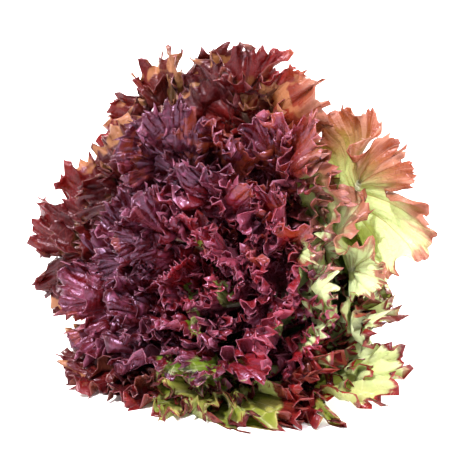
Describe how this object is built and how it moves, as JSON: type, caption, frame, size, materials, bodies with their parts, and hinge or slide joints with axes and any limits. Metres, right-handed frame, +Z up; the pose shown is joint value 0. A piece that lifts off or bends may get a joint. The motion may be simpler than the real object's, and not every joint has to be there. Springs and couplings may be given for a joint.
{
  "type": "red batavia lettuce",
  "caption": "Cut head of red batavia lettuce lying on its side, an open rosette of ruffled, toothed leaves on a short stem.",
  "frame": {"origin": "on the surface that the head lies on, under the centre of its bounding box", "axes": "+Z up from that surface; the open rosette looks towards -Y and a little to -X, and the cut butt is at the back on the +X side"},
  "size_m": [0.304, 0.2307, 0.246],
  "materials": {
    "outer_leaf": "waxy satin, thin and translucent",
    "heart_leaf": "waxy satin, thin and translucent",
    "stem": "moist pale green, cut white at the butt"
  },
  "bodies": {
    "root": {"stem": "stem", "leaf_01": "outer_leaf", "leaf_02": "outer_leaf", "leaf_03": "outer_leaf", "leaf_04": "outer_leaf", "leaf_05": "outer_leaf", "leaf_06": "outer_leaf", "leaf_07": "outer_leaf", "leaf_08": "outer_leaf", "leaf_09": "outer_leaf", "leaf_10": "outer_leaf", "leaf_11": "heart_leaf", "leaf_12": "heart_leaf", "leaf_13": "heart_leaf", "leaf_14": "heart_leaf", "leaf_15": "heart_leaf", "leaf_16": "heart_leaf", "leaf_17": "heart_leaf", "leaf_18": "heart_leaf", "leaf_19": "heart_leaf", "leaf_20": "heart_leaf", "leaf_21": "heart_leaf", "leaf_22": "heart_leaf", "leaf_23": "heart_leaf", "leaf_24": "heart_leaf", "leaf_25": "heart_leaf", "leaf_26": "heart_leaf"}
  },
  "joints": []
}
